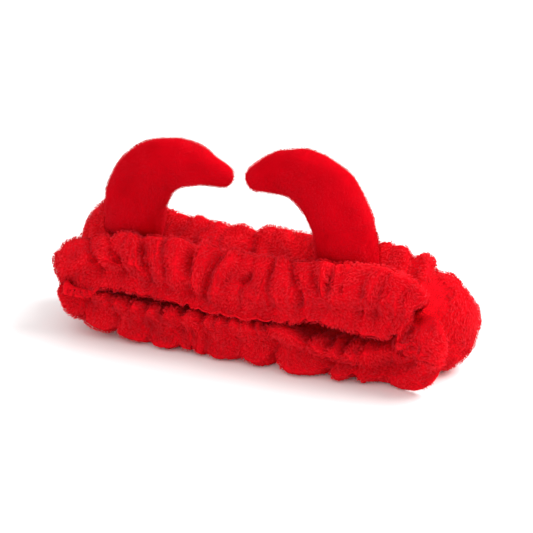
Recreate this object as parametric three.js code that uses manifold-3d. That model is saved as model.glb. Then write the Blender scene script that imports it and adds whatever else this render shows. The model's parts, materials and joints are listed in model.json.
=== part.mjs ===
// A plush spa headband with two stuffed devil horns, lying on a flat surface.
// Millimetres, +Z up. The wearer's head goes through the loop along Y, and the front faces -Y.
// The band is one gathered fleece tube sewn into a loop. Each horn is a stuffed velour cone, sewn into
// the valley that runs along the outside of the band.
import * as THREE from "three";
import { mergeVertices } from "three/addons/utils/BufferGeometryUtils.js";
import Module from "manifold-3d";

// Driving dimensions of the band
const bandLength = 246; // overall, from the left end of the flattened loop to the right
const bandWidth = 65; // from the front edge to the back edge
const topThickness = 35.5; // the layer that lies on top and carries the horns
const bottomThickness = 27; // the layer that lies on the surface
const openingHeight = 7; // clear height between the two layers
const foldDepth = 6; // how deep a full crease between two lumps goes
const pleatDepth = 4.2; // the same for the finer pleats on the wearer's side
const lumpSwell = 1.3; // how far the middle of a wide lump swells out
const restSink = 2.4; // how much of the lowest lumps is pressed flat by their own weight

// Driving dimensions of the horns
const hornRise = 42; // from the seat to the middle of the arm
const hornReach = 62; // from the middle of the seat to the tip
const hornBreadth = 38; // across the foot, seen from the front
const hornDepth = 27; // across the foot, seen from the side
const hornTipGap = 6; // between the two tips
const hornMiddle = -8; // middle of the pair, left of the middle of the band
const seatDrop = 7; // how far the seat is below the top of the band
const seatGap = 0.3; // clearance between a horn and the band

// How the cloth gathers, as shares
const lumpRoundness = 2.3; // the higher, the rounder the lumps and the narrower their creases
const coreShare = 0.5; // of the half width: creases draw the cloth in towards this line
const innerSkew = 0.35; // of the front to back skew that the wearer's side takes
const bendRoom = 0.87; // of the room inside a bend that the cloth takes up
const tightBend = 0.37; // of the bottom thickness: with less room than this there are no pleats
const easyBend = 0.65; // with more room than this they are at their full depth

// How finely the surfaces are faceted
const bandSections = 196;
const outlineSteps = 2; // steps between two rows of the band's outline
const hornSections = 22;
const hornSides = 18;

// The line through the middle of the cloth, from the left end over the top, round the right end and back
// underneath. x is a share of half the loop, z goes from the bottom layer at 0 to the top one at 1. thick
// is a share of the layer's thickness, droop lowers the front and back edges within that thickness and
// dip deepens the valley. skewX and skewZ move the back edge away from the front one, in shares of the width.
const loopStations = [
  { x: -0.99, z: 0.61, thick: 1.05, droop: -0.1, dip: 0.45, skewX: -0.03, skewZ: 0.05 },
  { x: -0.92, z: 0.9, thick: 0.94, droop: -0.15, dip: 0.55, skewX: -0.03, skewZ: 0.09 },
  { x: -0.7, z: 1.01, thick: 1.0, droop: -0.08, dip: 0.62, skewX: 0, skewZ: 0.05 },
  { x: -0.36, z: 0.99, thick: 1.0, droop: -0.5, dip: 0.62, skewX: 0, skewZ: 0 },
  { x: 0.02, z: 0.97, thick: 0.96, droop: -0.74, dip: 0.55, skewX: 0, skewZ: 0 },
  { x: 0.42, z: 0.99, thick: 0.98, droop: -0.4, dip: 0.62, skewX: 0, skewZ: 0 },
  { x: 0.73, z: 1.02, thick: 1.02, droop: -0.3, dip: 0.6, skewX: 0.03, skewZ: -0.05 },
  { x: 0.93, z: 0.9, thick: 1.04, droop: -0.15, dip: 0.55, skewX: 0.06, skewZ: -0.13 },
  { x: 1.0, z: 0.45, thick: 1.07, droop: 0, dip: 0.5, skewX: 0.15, skewZ: -0.13 },
  { x: 0.93, z: 0.07, thick: 1.12, droop: 0, dip: 0.4, skewX: 0.17, skewZ: -0.02 },
  { x: 0.58, z: 0, thick: 1.0, droop: 0.1, dip: 0.3, skewX: 0, skewZ: 0 },
  { x: 0.18, z: 0, thick: 1.0, droop: 0.1, dip: 0.3, skewX: 0, skewZ: 0 },
  { x: -0.22, z: 0, thick: 1.0, droop: 0.35, dip: 0.3, skewX: 0, skewZ: 0 },
  { x: -0.56, z: 0, thick: 0.98, droop: 0.25, dip: 0.3, skewX: 0, skewZ: 0 },
  { x: -0.82, z: 0.08, thick: 0.94, droop: 0.1, dip: 0.35, skewX: -0.02, skewZ: 0.02 },
  { x: -0.99, z: 0.38, thick: 1.08, droop: 0, dip: 0.4, skewX: -0.04, skewZ: 0.02 },
];

// The outline of the gathered tube, from the groove along its front edge over the outside to the groove
// along its back edge, and back along the wearer's side. y is a share of half the width, n of half the
// thickness, outward. droop and dip say how much of the station's value a row takes, grip how deep the
// creases bite, outer how far it belongs to the outside, and down how far it lies below the roll's crest.
const outlineRows = [
  { y: -0.88, n: 0, droop: 1, dip: 0, grip: 0.35, outer: 0.5, down: 1 },
  { y: -0.98, n: 0.42, droop: 0.7, dip: 0, grip: 1, outer: 1, down: 0.55 },
  { y: -0.6, n: 1.04, droop: 0, dip: 0, grip: 1, outer: 1, down: 0 },
  { y: 0, n: 1, droop: 0, dip: -1, grip: 0.55, outer: 1, down: -0.4 },
  { y: 0.6, n: 1.04, droop: 0, dip: 0, grip: 1, outer: 1, down: 0 },
  { y: 0.98, n: 0.42, droop: 0.7, dip: 0, grip: 1, outer: 1, down: 0.55 },
  { y: 0.88, n: 0, droop: 1, dip: 0, grip: 0.35, outer: 0.5, down: 1 },
  { y: 0.95, n: -0.72, droop: 0.4, dip: 0, grip: 0.65, outer: 0, down: 0.6 },
  { y: 0.58, n: -1, droop: 0, dip: 0, grip: 1, outer: 0, down: 0 },
  { y: 0, n: -0.88, droop: 0, dip: 0, grip: 0.8, outer: 0, down: 0 },
  { y: -0.58, n: -1, droop: 0, dip: 0, grip: 1, outer: 0, down: 0 },
  { y: -0.95, n: -0.72, droop: 0.4, dip: 0, grip: 0.65, outer: 0, down: 0.6 },
];

// Creases between the lumps of the front roll: where along the loop, how far the lower end leans on, and
// how deep it is. A share of 0 is the left end, 0.25 the middle of the top and 0.5 the right end.
const frontCreases = [
  { at: 0.045, lean: 0.017, deep: 1.15 },
  { at: 0.074, lean: 0.014, deep: 1.05 },
  { at: 0.094, lean: 0.012, deep: 0.7 },
  { at: 0.116, lean: 0.008, deep: 1.0 },
  { at: 0.145, lean: 0.008, deep: 0.75 },
  { at: 0.181, lean: 0.006, deep: 1.0 },
  { at: 0.222, lean: -0.012, deep: 0.95 },
  { at: 0.24, lean: -0.01, deep: 0.6 },
  { at: 0.26, lean: -0.01, deep: 1.35 },
  { at: 0.294, lean: -0.008, deep: 0.8 },
  { at: 0.314, lean: 0.004, deep: 1.2 },
  { at: 0.331, lean: 0.004, deep: 1.15 },
  { at: 0.35, lean: -0.004, deep: 1.25 },
  { at: 0.37, lean: 0.002, deep: 0.85 },
  { at: 0.4, lean: 0.01, deep: 0.5 },
  { at: 0.421, lean: 0.008, deep: 0.9 },
  { at: 0.443, lean: 0.004, deep: 0.8 },
  { at: 0.467, lean: 0.02, deep: 1.5 },
  { at: 0.545, lean: 0.012, deep: 1.1 },
  { at: 0.598, lean: 0, deep: 0.9 },
  { at: 0.633, lean: 0, deep: 1.1 },
  { at: 0.698, lean: 0, deep: 1.1 },
  { at: 0.744, lean: 0, deep: 0.9 },
  { at: 0.786, lean: 0, deep: 1.0 },
  { at: 0.806, lean: 0, deep: 0.9 },
  { at: 0.823, lean: 0, deep: 0.9 },
  { at: 0.862, lean: 0, deep: 0.9 },
  { at: 0.908, lean: 0, deep: 1.1 },
  { at: 0.952, lean: 0, deep: 0.8 },
  { at: 0.985, lean: 0.01, deep: 0.7 },
];

// The same for the back roll
const backCreases = [
  { at: 0.03, lean: 0, deep: 1.0 },
  { at: 0.068, lean: 0, deep: 0.9 },
  { at: 0.104, lean: 0, deep: 0.9 },
  { at: 0.135, lean: -0.006, deep: 0.8 },
  { at: 0.155, lean: 0.006, deep: 0.6 },
  { at: 0.188, lean: 0.004, deep: 0.9 },
  { at: 0.222, lean: -0.01, deep: 1.4 },
  { at: 0.255, lean: -0.006, deep: 1.0 },
  { at: 0.279, lean: 0, deep: 0.7 },
  { at: 0.312, lean: 0, deep: 1.0 },
  { at: 0.348, lean: 0, deep: 0.9 },
  { at: 0.376, lean: 0, deep: 0.8 },
  { at: 0.404, lean: 0, deep: 0.7 },
  { at: 0.434, lean: -0.006, deep: 1.0 },
  { at: 0.462, lean: -0.004, deep: 1.1 },
  { at: 0.515, lean: 0, deep: 0.8 },
  { at: 0.545, lean: 0, deep: 0.9 },
];

// Pleats on the wearer's side of the bottom layer. The tube's two ends are sewn together on the plain
// stretch between the sixth and the seventh.
const innerPleats = [
  { at: 0.553, lean: 0.004, deep: 1.0 },
  { at: 0.573, lean: 0, deep: 1.1 },
  { at: 0.59, lean: 0, deep: 1.2 },
  { at: 0.612, lean: 0, deep: 1.2 },
  { at: 0.631, lean: 0, deep: 0.9 },
  { at: 0.651, lean: 0, deep: 1.0 },
  { at: 0.708, lean: 0, deep: 1.1 },
  { at: 0.721, lean: 0, deep: 1.0 },
  { at: 0.738, lean: 0, deep: 0.9 },
  { at: 0.754, lean: 0, deep: 0.7 },
  { at: 0.768, lean: 0, deep: 0.9 },
  { at: 0.788, lean: 0, deep: 1.2 },
  { at: 0.817, lean: 0, deep: 1.2 },
  { at: 0.845, lean: 0.002, deep: 1.1 },
  { at: 0.866, lean: 0.003, deep: 1.1 },
  { at: 0.887, lean: 0.004, deep: 1.2 },
  { at: 0.91, lean: 0.006, deep: 1.0 },
  { at: 0.932, lean: 0.008, deep: 0.9 },
];

// Stretches of the loop that don't show from the front, gathered evenly
const backUnderside = { from: 0.575, to: 0.985, folds: 13 };
const innerTop = { from: 0.952, to: 1.533, folds: 27 };

// Each horn from its root to its tip: in towards the other horn as a share of the reach, up as a share of
// the rise, and across as shares of the foot's breadth and depth. The root is below the seat.
const leftHornStations = [
  { inward: -0.03, up: -0.45, breadth: 1.0, depth: 1.0 },
  { inward: 0, up: 0, breadth: 1.0, depth: 1.0 },
  { inward: 0.025, up: 0.37, breadth: 1.02, depth: 1.0 },
  { inward: 0.1, up: 0.64, breadth: 1.0, depth: 0.98 },
  { inward: 0.24, up: 0.865, breadth: 0.91, depth: 0.92 },
  { inward: 0.43, up: 0.985, breadth: 0.79, depth: 0.83 },
  { inward: 0.62, up: 1.0, breadth: 0.65, depth: 0.71 },
  { inward: 0.79, up: 0.95, breadth: 0.47, depth: 0.55 },
  { inward: 0.92, up: 0.91, breadth: 0.37, depth: 0.42 },
];
const rightHornStations = [
  { inward: -0.03, up: -0.45, breadth: 0.96, depth: 1.0 },
  { inward: 0, up: 0, breadth: 0.95, depth: 1.0 },
  { inward: 0.04, up: 0.34, breadth: 0.94, depth: 1.0 },
  { inward: 0.12, up: 0.62, breadth: 0.93, depth: 0.98 },
  { inward: 0.25, up: 0.85, breadth: 0.9, depth: 0.92 },
  { inward: 0.43, up: 0.98, breadth: 0.82, depth: 0.83 },
  { inward: 0.62, up: 0.99, breadth: 0.68, depth: 0.72 },
  { inward: 0.79, up: 0.93, breadth: 0.54, depth: 0.58 },
  { inward: 0.92, up: 0.87, breadth: 0.39, depth: 0.43 },
];
const tipLength = 0.08; // how far the rounded tip runs past the last station, as a share of the reach
const horns = [
  { name: "horn_left", side: -1, stations: leftHornStations, reach: 1.03, rise: 0.97, lean: 1.5 },
  { name: "horn_right", side: 1, stations: rightHornStations, reach: 0.98, rise: 1.04, lean: -1.0 },
];

const wasm = await Module();
wasm.setup();

const mix = (a, b, share) => a + (b - a) * share;

// Repeats the same small irregular numbers on each run, between -1 and 1.
function irregular(step) {
  const value = Math.sin(step * 12.9898 + 4.1414) * 43758.5453;
  return 2 * (value - Math.floor(value)) - 1;
}

function evenCreases({ from, to, folds }) {
  const pitch = (to - from) / folds;
  const rows = [];
  for (let i = 0; i < folds; i++) {
    const at = from + pitch * (i + 0.5 + 0.22 * irregular(i + folds));
    rows.push({ at: at % 1, lean: 0, deep: 0.95 + 0.2 * irregular(i + 2 * folds) });
  }
  return rows;
}

const sorted = (rows) => [...rows].sort((a, b) => a.at - b.at);
const creases = {
  front: sorted(frontCreases),
  back: sorted([...backCreases, ...evenCreases(backUnderside)]),
  inner: sorted([...innerPleats, ...evenCreases(innerTop)]),
};

// Reads every column of a closed table at a place between its rows, on a uniform Catmull-Rom spline.
function closedRow(rows, place) {
  const count = rows.length;
  const i = Math.floor(place);
  const t = place - i;
  const near = [-1, 0, 1, 2].map((k) => rows[(((i + k) % count) + count) % count]);
  const weights = [
    ((2 - t) * t - 1) * t,
    (3 * t - 5) * t * t + 2,
    ((4 - 3 * t) * t + 1) * t,
    (t - 1) * t * t,
  ];
  const row = {};
  for (const key of Object.keys(rows[0])) {
    row[key] = near.reduce((sum, r, k) => sum + 0.5 * weights[k] * r[key], 0);
  }
  return row;
}

// The loop's middle line in millimetres, with the direction that points out of the loop.
const endThickness = mix(bottomThickness, topThickness, 0.6) * loopStations[0].thick;
const halfLoop = (bandLength - endThickness) / 2;
const layerRise = (bottomThickness + topThickness) / 2 + openingHeight;

function loopPoint(place) {
  const row = closedRow(loopStations, place);
  const level = THREE.MathUtils.clamp(row.z, 0, 1);
  return {
    ...row,
    x: row.x * halfLoop,
    z: bottomThickness / 2 + row.z * layerRise,
    half: (row.thick * mix(bottomThickness, topThickness, level)) / 2,
  };
}

// Fine points along the middle line, with their places in the table of stations.
const finePerStation = 40;
const loopLine = [];
for (let i = 0; i < finePerStation * loopStations.length; i++) {
  loopLine.push({ place: i / finePerStation, ...loopPoint(i / finePerStation) });
}

// Places along the table of stations at even steps of the loop's real length.
function evenPlaces(steps) {
  const lengths = [0];
  loopLine.forEach((point, i) => {
    const next = loopLine[(i + 1) % loopLine.length];
    lengths.push(lengths[i] + Math.hypot(next.x - point.x, next.z - point.z));
  });
  const places = [];
  let i = 0;
  for (let k = 0; k < steps; k++) {
    const wanted = (k * lengths[loopLine.length]) / steps;
    while (lengths[i + 1] < wanted) i++;
    const part = (wanted - lengths[i]) / (lengths[i + 1] - lengths[i]);
    places.push((i + part) / finePerStation);
  }
  return places;
}

// The radius of the largest circle inside the loop that touches the middle line at a point. The wearer's
// side stays short of its centre, so the cloth never runs through itself in a bend.
function innerRoom(point, out) {
  const tooNear = (0.02 * halfLoop) ** 2;
  let room = Infinity;
  for (const other of loopLine) {
    const x = other.x - point.x;
    const z = other.z - point.z;
    const inward = -(x * out.x + z * out.z);
    const apart = x * x + z * z;
    if (inward > 0.02 * Math.sqrt(apart) && apart > tooNear) room = Math.min(room, apart / (2 * inward));
  }
  return room;
}

// How deep the cloth lies under its lumps at a share of the loop: 1 in a full crease, below 0 where a wide
// lump swells.
function gather(rows, share, down) {
  const lies = rows.map((row) => row.at + row.lean * down);
  let next = lies.findIndex((at) => at > share);
  const previous = (next > 0 ? next : rows.length) - 1;
  if (next < 0) next = 0;
  let from = lies[previous];
  let to = lies[next];
  if (from > share) from -= 1;
  if (to <= share) to += 1;
  const part = (share - from) / (to - from);
  const towardsCrease = Math.abs(2 * part - 1) ** lumpRoundness;
  const deep = mix(rows[previous].deep, rows[next].deep, part);
  const swell = (to - from) / meanLump - 1;
  return { crease: deep * towardsCrease, swell: swell * (1 - towardsCrease) };
}
const meanLump = 1 / frontCreases.length;

// Moves a point of the outline in towards the middle of the tube by the depth of the creases there. In a
// tight bend the pleats on the wearer's side are pressed shallow.
function gathered(row, share, room, y, n) {
  const front = gather(creases.front, share, row.down);
  const back = gather(creases.back, share, row.down);
  const inner = gather(creases.inner, share, row.down);
  const backness = THREE.MathUtils.smoothstep(row.y, -0.35, 0.35);
  const outer = THREE.MathUtils.clamp(row.outer, 0, 1);
  const slack = THREE.MathUtils.smoothstep(room / bottomThickness, tightBend, easyBend);
  const crease = mix(front.crease, back.crease, backness) * foldDepth * outer * mix(slack, 1, outer);
  const pleat = inner.crease * pleatDepth * (1 - outer) * slack;
  const swell = mix(front.swell, back.swell, backness) * lumpSwell * outer;
  const depth = (crease + pleat) * row.grip - swell * row.grip;
  const coreY = coreShare * y;
  const reach = Math.hypot(y - coreY, n);
  return { y: y - ((y - coreY) * depth) / reach, n: n - (n * depth) / reach };
}

// One closed ring of points round the cloth for each section, each grown outwards by the given amount.
function bandRings(grown) {
  const outline = [];
  for (let i = 0; i < outlineRows.length * outlineSteps; i++) {
    outline.push(closedRow(outlineRows, i / outlineSteps));
  }
  const halfWidth = bandWidth / 2;
  return evenPlaces(bandSections).map((place, section) => {
    const share = section / bandSections;
    const station = loopPoint(place);
    const ahead = loopPoint(place + 0.01);
    const behind = loopPoint(place - 0.01);
    const along = new THREE.Vector2(ahead.x - behind.x, ahead.z - behind.z).normalize();
    const out = { x: -along.y, z: along.x };
    const room = innerRoom(station, out);
    const squeeze = Math.min(1, (bendRoom * room) / station.half);
    return outline.map((row) => {
      const level = row.n + row.droop * station.droop + row.dip * station.dip;
      const thick = station.half * level * (level < 0 ? squeeze : 1);
      const cloth = gathered(row, share, room, row.y * halfWidth, thick);
      const length = Math.hypot(cloth.y, cloth.n);
      const y = cloth.y * (1 + grown / length);
      const n = cloth.n + (cloth.n * grown) / length + Math.sign(cloth.n) * grown;
      const skew = row.y * halfWidth * mix(innerSkew, 1, row.outer);
      const x = station.x + out.x * n + station.skewX * skew;
      const z = station.z + out.z * n + station.skewZ * skew;
      return new THREE.Vector3(x, y, Math.max(z - restSink, 0));
    });
  });
}

// Joins rings of equal length into a surface. Open ends are closed by a flat cap.
function skin(rings, isLoop) {
  const sides = rings[0].length;
  const points = rings.flat();
  const faces = [];
  const lastRing = isLoop ? rings.length : rings.length - 1;
  for (let i = 0; i < lastRing; i++) {
    const here = i * sides;
    const there = ((i + 1) % rings.length) * sides;
    for (let k = 0; k < sides; k++) {
      const next = (k + 1) % sides;
      faces.push(here + k, there + next, here + next);
      faces.push(here + k, there + k, there + next);
    }
  }
  if (!isLoop) {
    for (const [start, turn] of [[0, 1], [(rings.length - 1) * sides, -1]]) {
      const middle = points.length;
      const ring = points.slice(start, start + sides);
      points.push(ring.reduce((sum, p) => sum.add(p), new THREE.Vector3()).divideScalar(sides));
      for (let k = 0; k < sides; k++) {
        const pair = [start + k, start + ((k + 1) % sides)];
        faces.push(middle, ...(turn > 0 ? pair : pair.reverse()));
      }
    }
  }
  const geometry = new THREE.BufferGeometry().setFromPoints(points);
  geometry.setIndex(faces);
  return geometry;
}

// The middle line of a horn, from its root in the valley to where its rounded tip starts.
const seatLevel = bottomThickness + openingHeight + topThickness - seatDrop;

function hornSpine(horn) {
  const points = horn.stations.map(
    (row) =>
      new THREE.Vector3(
        hornMiddle + horn.side * (hornTipGap / 2 + horn.reach * hornReach * (1 - row.inward)),
        horn.lean * Math.max(row.up, 0),
        seatLevel + row.up * hornRise * horn.rise
      )
  );
  return new THREE.CatmullRomCurve3(points, false, "catmullrom", 0.5);
}

function hornRings(horn) {
  const spine = hornSpine(horn);
  const { stations } = horn;
  const last = stations.length - 1;
  const rings = [];
  const addRing = (centre, along, breadth, depth) => {
    const across = new THREE.Vector3(-along.z, 0, along.x).normalize();
    const ring = [];
    for (let k = 0; k < hornSides; k++) {
      const turn = (2 * Math.PI * k) / hornSides;
      const point = centre.clone().addScaledVector(across, (Math.cos(turn) * breadth * hornBreadth) / 2);
      point.y += (Math.sin(turn) * depth * hornDepth) / 2;
      ring.push(point);
    }
    rings.push(ring);
  };
  for (let i = 0; i <= hornSections; i++) {
    const t = i / hornSections;
    const row = Math.min(t * last, last - 1e-6);
    const from = stations[Math.floor(row)];
    const to = stations[Math.floor(row) + 1];
    const part = row - Math.floor(row);
    const breadth = mix(from.breadth, to.breadth, part);
    addRing(spine.getPoint(t), spine.getTangent(t), breadth, mix(from.depth, to.depth, part));
  }
  const tipSteps = 4;
  const end = spine.getPoint(1);
  const along = spine.getTangent(1);
  for (let i = 1; i <= tipSteps; i++) {
    const angle = (Math.PI / 2) * (i / (tipSteps + 0.4));
    const centre = end.clone().addScaledVector(along, Math.sin(angle) * tipLength * hornReach);
    const shrink = Math.cos(angle);
    addRing(centre, along, stations[last].breadth * shrink, stations[last].depth * shrink);
  }
  return rings;
}

function toSolid(geometry) {
  const bare = geometry.index ? geometry.toNonIndexed() : geometry;
  bare.deleteAttribute("normal");
  bare.deleteAttribute("uv");
  const merged = mergeVertices(bare, 1e-4);
  return new wasm.Manifold(
    new wasm.Mesh({
      numProp: 3,
      vertProperties: merged.attributes.position.array,
      triVerts: new Uint32Array(merged.index.array),
    })
  );
}

function toGeometry(solid) {
  const mesh = solid.getMesh();
  const geometry = new THREE.BufferGeometry();
  geometry.setAttribute("position", new THREE.BufferAttribute(mesh.vertProperties, 3));
  geometry.setIndex(new THREE.BufferAttribute(mesh.triVerts, 1));
  geometry.computeVertexNormals();
  return geometry;
}

const plushRed = new THREE.MeshStandardMaterial({ color: 0xd01018, roughness: 0.95, metalness: 0 });
const velourRed = new THREE.MeshStandardMaterial({ color: 0xc8000c, roughness: 0.85, metalness: 0 });

function bandMesh() {
  const geometry = skin(bandRings(0), true);
  geometry.computeVertexNormals();
  const mesh = new THREE.Mesh(geometry, plushRed);
  mesh.name = "band";
  return mesh;
}

// A horn ends where it meets the band, with the seat gap all over its foot.
function hornMesh(horn, bandRoom) {
  const whole = toSolid(skin(hornRings(horn), false));
  const seated = whole.subtract(bandRoom);
  const pieces = seated.decompose();
  const largest = pieces.reduce((a, b) => (b.volume() > a.volume() ? b : a));
  const mesh = new THREE.Mesh(toGeometry(largest), velourRed);
  mesh.name = horn.name;
  return mesh;
}

const headband = new THREE.Group();
headband.add(bandMesh());
const bandRoom = toSolid(skin(bandRings(seatGap), true));
for (const horn of horns) headband.add(hornMesh(horn, bandRoom));

// The origin is the middle of the whole thing, on the surface that it lies on.
const reach = new THREE.Box3().setFromObject(headband, true);
headband.position.set(-(reach.min.x + reach.max.x) / 2, -(reach.min.y + reach.max.y) / 2, -reach.min.z);

export default headband;
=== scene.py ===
import json
import math
import bmesh
import bpy
import numpy as np
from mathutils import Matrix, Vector, noise
from mathutils.bvhtree import BVHTree

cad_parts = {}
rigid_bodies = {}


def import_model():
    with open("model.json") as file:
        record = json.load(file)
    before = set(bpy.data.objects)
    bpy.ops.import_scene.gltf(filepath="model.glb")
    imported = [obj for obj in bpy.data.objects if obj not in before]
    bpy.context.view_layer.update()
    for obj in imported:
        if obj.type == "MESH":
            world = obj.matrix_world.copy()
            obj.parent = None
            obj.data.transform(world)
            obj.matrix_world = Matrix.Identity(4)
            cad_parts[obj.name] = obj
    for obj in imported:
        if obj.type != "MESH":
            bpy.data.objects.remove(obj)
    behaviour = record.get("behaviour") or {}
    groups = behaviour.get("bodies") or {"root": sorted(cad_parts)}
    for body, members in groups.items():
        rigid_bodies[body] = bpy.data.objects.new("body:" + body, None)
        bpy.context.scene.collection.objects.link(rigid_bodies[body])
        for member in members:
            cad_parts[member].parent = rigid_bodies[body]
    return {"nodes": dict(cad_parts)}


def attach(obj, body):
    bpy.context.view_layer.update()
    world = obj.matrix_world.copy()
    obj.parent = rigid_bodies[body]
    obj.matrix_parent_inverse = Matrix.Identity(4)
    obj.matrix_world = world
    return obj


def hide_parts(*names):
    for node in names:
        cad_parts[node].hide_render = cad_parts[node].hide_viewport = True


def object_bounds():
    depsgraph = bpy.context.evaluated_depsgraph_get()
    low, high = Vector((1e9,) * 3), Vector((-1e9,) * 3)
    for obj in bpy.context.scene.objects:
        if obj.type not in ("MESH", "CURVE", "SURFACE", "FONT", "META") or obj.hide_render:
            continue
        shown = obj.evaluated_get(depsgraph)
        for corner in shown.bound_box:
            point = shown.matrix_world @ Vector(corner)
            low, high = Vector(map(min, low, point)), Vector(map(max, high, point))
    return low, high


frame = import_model()
cadLow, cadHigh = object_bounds()
scene = bpy.context.scene
print("frame loaded:", sorted(frame["nodes"]))


# camera, lights and floor

shot = {
    "azimuth": 23.0,  # degrees round from the front
    "elevation": 22.0,
    "distance": 0.70,
    "lens": 85.0,
    "target": (0.0072, 0.0, 0.0496),
}

def lookAt(obj, target):
    way = Vector(target) - obj.location
    obj.rotation_euler = way.to_track_quat("-Z", "Y").to_euler()

def addCamera():
    a, e = math.radians(shot["azimuth"]), math.radians(shot["elevation"])
    back = Vector((math.sin(a) * math.cos(e), -math.cos(a) * math.cos(e), math.sin(e)))
    data = bpy.data.cameras.new("camera")
    data.lens = shot["lens"]
    data.sensor_width = 36.0
    data.clip_start = 0.01
    camera = bpy.data.objects.new("camera", data)
    scene.collection.objects.link(camera)
    camera.location = Vector(shot["target"]) + back * shot["distance"]
    lookAt(camera, shot["target"])
    scene.camera = camera

studio = {
    "world": 1.07,
    "key": (0.75, 0.35, 0.95), "keySize": 0.8, "keyPower": 18.0,  # softbox, above on the right
    "fill": (-0.1, -1.1, 0.45), "fillSize": 1.0, "fillPower": 0.7,  # from the front, rather low
    "floor": 0.9,
}

def addArea(name, place, size, power):
    data = bpy.data.lights.new(name, "AREA")
    data.size = size
    data.energy = power
    light = bpy.data.objects.new(name, data)
    scene.collection.objects.link(light)
    light.location = place
    lookAt(light, (0, 0, 0.05))

def newMaterial(name):
    material = bpy.data.materials.new(name)
    material.use_nodes = True
    nodes = material.node_tree.nodes
    return material, nodes, material.node_tree.links, nodes["Principled BSDF"]

def addStage():
    world = bpy.data.worlds.new("studio")
    scene.world = world
    world.use_nodes = True
    background = world.node_tree.nodes["Background"]
    background.inputs["Color"].default_value = (1, 1, 1, 1)
    background.inputs["Strength"].default_value = studio["world"]
    addArea("key", studio["key"], studio["keySize"], studio["keyPower"])
    addArea("fill", studio["fill"], studio["fillSize"], studio["fillPower"])
    mesh = bpy.data.meshes.new("floor")
    r = 4.0
    mesh.from_pydata([(-r, -r, 0), (r, -r, 0), (r, r, 0), (-r, r, 0)], [], [(0, 1, 2, 3)])
    floor = bpy.data.objects.new("floor", mesh)
    scene.collection.objects.link(floor)
    material, _, _, shader = newMaterial("paper")
    shade = studio["floor"]
    shader.inputs["Base Color"].default_value = (shade, shade, shade, 1)
    shader.inputs["Roughness"].default_value = 0.9
    mesh.materials.append(material)

addCamera()
addStage()
scene.view_settings.view_transform = "Standard"
scene.view_settings.look = "None"
print("stage set")


# mesh helpers

def mergedMesh(node, name):
    bm = bmesh.new()
    bm.from_mesh(frame["nodes"][node].data)
    bmesh.ops.remove_doubles(bm, verts=bm.verts, dist=2e-6)
    mesh = bpy.data.meshes.new(name)
    bm.to_mesh(mesh)
    bm.free()
    return mesh

def addObject(name, mesh):
    obj = bpy.data.objects.new(name, mesh)
    scene.collection.objects.link(obj)
    return obj

def evaluated(obj, name):  # plain mesh of an object with its modifiers, which then come off
    bpy.context.view_layer.update()
    graph = bpy.context.evaluated_depsgraph_get()
    mesh = bpy.data.meshes.new_from_object(obj.evaluated_get(graph))
    mesh.name = name
    obj.modifiers.clear()
    obj.data = mesh
    return obj

def subdivided(obj, levels):
    modifier = obj.modifiers.new("subdivide", "SUBSURF")
    modifier.levels = modifier.render_levels = levels
    return evaluated(obj, obj.name)

def readPoints(mesh):
    points = np.empty(len(mesh.vertices) * 3)
    mesh.vertices.foreach_get("co", points)
    return points.reshape(-1, 3)

def readNormals(mesh):
    normals = np.empty(len(mesh.vertices) * 3)
    mesh.vertex_normals.foreach_get("vector", normals)
    return normals.reshape(-1, 3)

def writePoints(mesh, points):
    mesh.vertices.foreach_set("co", points.ravel())
    mesh.update()

def edgeEnds(mesh):
    ends = np.empty(len(mesh.edges) * 2, dtype=np.int32)
    mesh.edges.foreach_get("vertices", ends)
    return ends.reshape(-1, 2)

def smoothed(values, ends, times):
    count = np.bincount(ends.ravel(), minlength=len(values)).reshape(-1, 1)
    for _ in range(times):
        total = np.zeros_like(values)
        np.add.at(total, ends[:, 0], values[ends[:, 1]])
        np.add.at(total, ends[:, 1], values[ends[:, 0]])
        values = total / count
    return values

def unit(vectors):
    return vectors / np.maximum(np.linalg.norm(vectors, axis=1, keepdims=True), 1e-9)

noise.seed_set(5)

def noiseField(points, size, seed=0):  # smooth vectors, one for each point, that vary over the given size
    shift = Vector((seed * 7.3, seed * 3.1, seed * 5.7))
    return np.array([noise.noise_vector(Vector(p) / size + shift) for p in points])

def storeVectors(mesh, name, values):
    attribute = mesh.attributes.new(name, "FLOAT_VECTOR", "POINT")
    attribute.data.foreach_set("vector", values.astype(np.float32).ravel())

def storeFloats(mesh, name, values):
    attribute = mesh.attributes.new(name, "FLOAT", "POINT")
    attribute.data.foreach_set("value", values.astype(np.float32).ravel())


# horns: stuffed velour, blown up a little by a cloth simulation

horn = {
    "voxel": 0.0026,
    "shrink": 0.0003,  # taken off before the cloth swells
    "plump": 0.0011,  # and put on again once it has
    "pressure": 4.0,
    "frames": 20,
    "cap": 0.0022,  # furthest a point may move
    "lump": 0.0007, "lumpSize": 0.012,  # uneven filling
    "rootDepth": 0.0006,  # from the velour's outside down to its backing
}

def blown(obj, amounts, held=""):  # a cloth simulation with air pressure inside, applied to the mesh
    cloth = obj.modifiers.new("cloth", "CLOTH")
    settings = cloth.settings
    settings.quality = 5
    settings.mass = 0.2
    settings.tension_stiffness = settings.compression_stiffness = 12.0
    settings.shear_stiffness = 5.0
    settings.bending_stiffness = 0.4
    settings.tension_damping = settings.compression_damping = 50.0  # calm enough to end the same each time
    settings.shear_damping = 50.0
    settings.bending_damping = 5.0
    settings.air_damping = 10.0
    settings.use_pressure = True
    settings.uniform_pressure_force = amounts["pressure"]
    settings.effector_weights.gravity = 0.0
    settings.vertex_group_mass = held
    cloth.collision_settings.use_collision = False
    cloth.collision_settings.use_self_collision = False
    cloth.point_cache.frame_start = 1
    cloth.point_cache.frame_end = amounts["frames"]
    for step in range(1, amounts["frames"] + 1):
        scene.frame_set(step)
    evaluated(obj, obj.name)
    scene.frame_set(1)

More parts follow.
